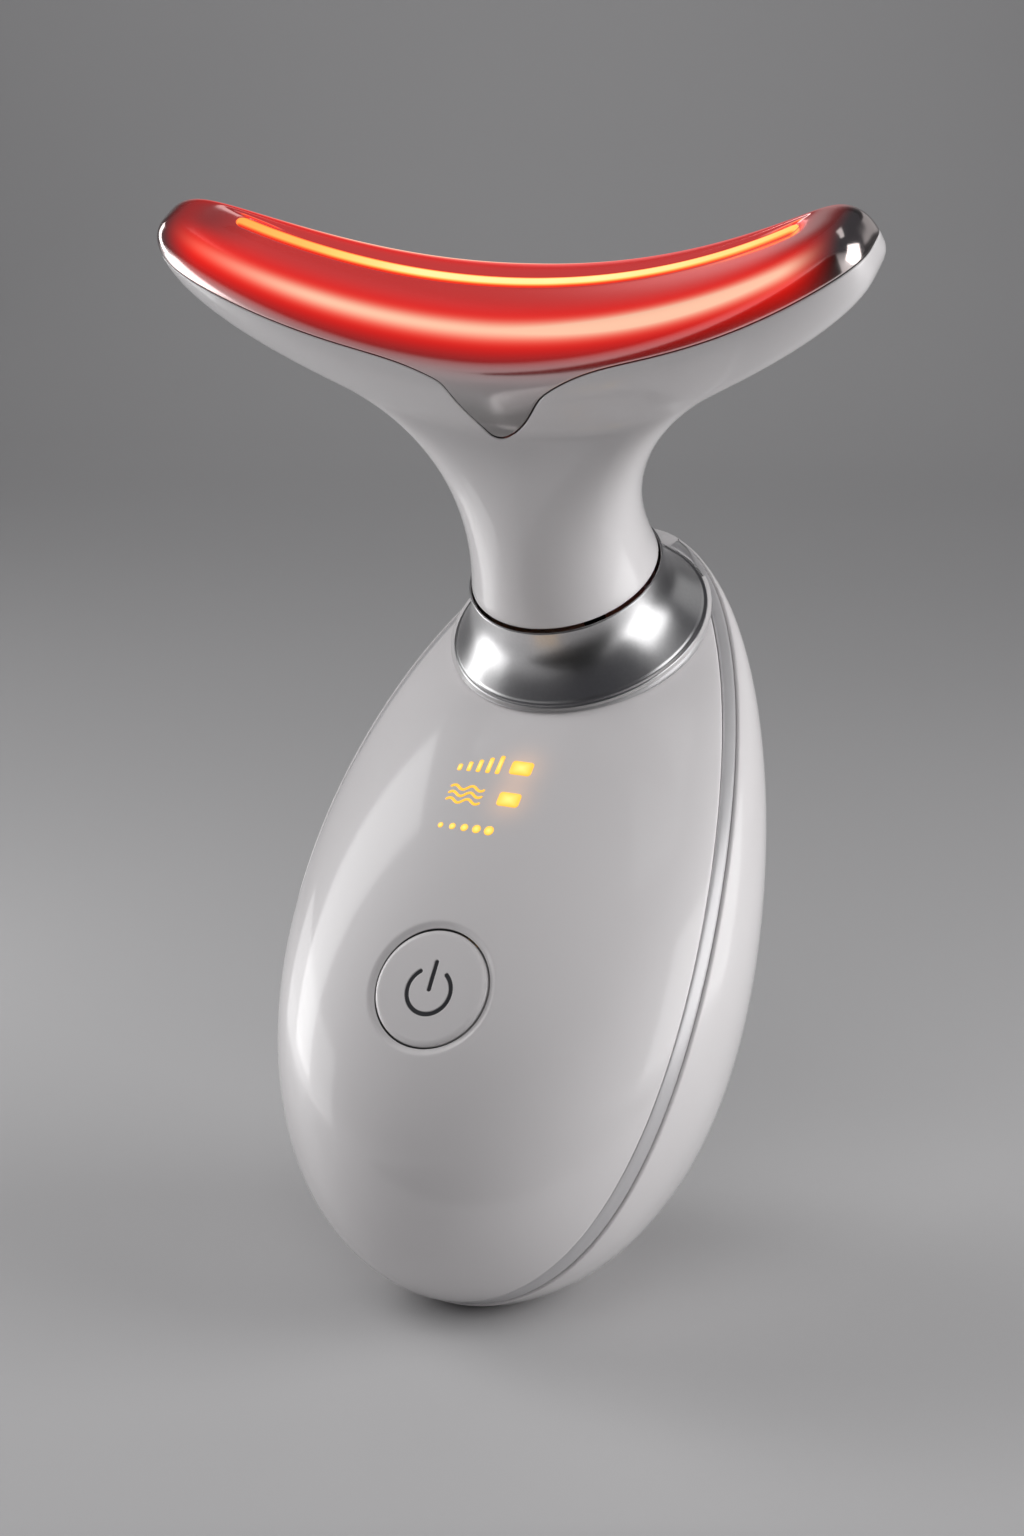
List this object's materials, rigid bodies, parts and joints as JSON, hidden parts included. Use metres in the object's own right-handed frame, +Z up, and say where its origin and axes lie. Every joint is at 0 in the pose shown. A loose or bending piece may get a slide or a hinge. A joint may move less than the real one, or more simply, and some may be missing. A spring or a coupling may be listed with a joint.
{
  "type": "handheld neck massager",
  "caption": "Hand-held neck massager: egg-shaped body with push button and bright side band, leaning on a flat foot, flared collar and a crescent head with a light strip.",
  "frame": {"origin": "middle of the flat foot that the device stands on", "axes": "+Z up from the table, -Y towards the front with the button, +X across the head"},
  "size_m": [0.0914, 0.0677, 0.1343],
  "materials": {
    "white_shell": "gloss",
    "satin_trim": "satin",
    "collar_metal": "polished",
    "plated_cap": "polished",
    "strip_light": "translucent, lit",
    "button_white": "satin",
    "amber_lens": "translucent, lit",
    "board_green": "matt",
    "chip_black": "matt",
    "led_yellow": "clear",
    "inner_plastic": "matt",
    "screw_steel": "plated",
    "cell_wrap": "foil",
    "pad_foam": "foam tape",
    "motor_steel": "nickel plated",
    "weight_metal": "sintered",
    "seal_rubber": "matt",
    "led_red": "clear",
    "spring_brass": "bright",
    "cable_rubber": "matt",
    "lead_red": "satin"
  },
  "bodies": {
    "body": {"front_shell": "white_shell", "rear_shell": "white_shell", "trim_band": "satin_trim", "collar": "collar_metal", "head_housing": "white_shell", "head_cap": "plated_cap", "light_strip": "strip_light", "lamp_windows": "amber_lens", "main_board": "board_green", "board_parts": "chip_black", "lamp_leds": "led_yellow", "switch_body": "chip_black", "inner_frame": "inner_plastic", "frame_screws": "screw_steel", "battery": "cell_wrap", "battery_pad": "pad_foam", "motor_can": "motor_steel", "motor_clip": "inner_plastic", "port_socket": "motor_steel", "port_board": "board_green", "port_screws": "screw_steel", "inner_leads": "lead_red", "neck_screws": "screw_steel", "neck_ring_seal": "seal_rubber", "head_frame": "inner_plastic", "head_board": "board_green", "head_leds": "led_red", "contact_spring": "spring_brass", "neck_cable": "cable_rubber"},
    "button": {"power_button": "button_white"},
    "plunger": {"switch_plunger": "chip_black"},
    "rotor": {"motor_shaft": "screw_steel", "motor_weight": "weight_metal"}
  },
  "joints": [
    {"name": "button_press", "type": "slide", "parent": "body", "child": "button", "axis": [0, 0.8151, -0.5793], "range_m": [0, 0.0005], "stiffness_N_per_m": 400, "springref_m": -0.0005},
    {"name": "plunger_press", "type": "slide", "parent": "body", "child": "plunger", "axis": [0, 0.8151, -0.5793], "range_m": [0, 0.0005]},
    {"name": "motor_spin", "type": "hinge", "parent": "body", "child": "rotor", "pos_m": [0, 0.01334, 0.05489], "axis": [1, 0, 0], "continuous": true}
  ],
  "couplings": [
    {"joint": "plunger_press", "follows": "button_press", "ratio": 1}
  ]
}
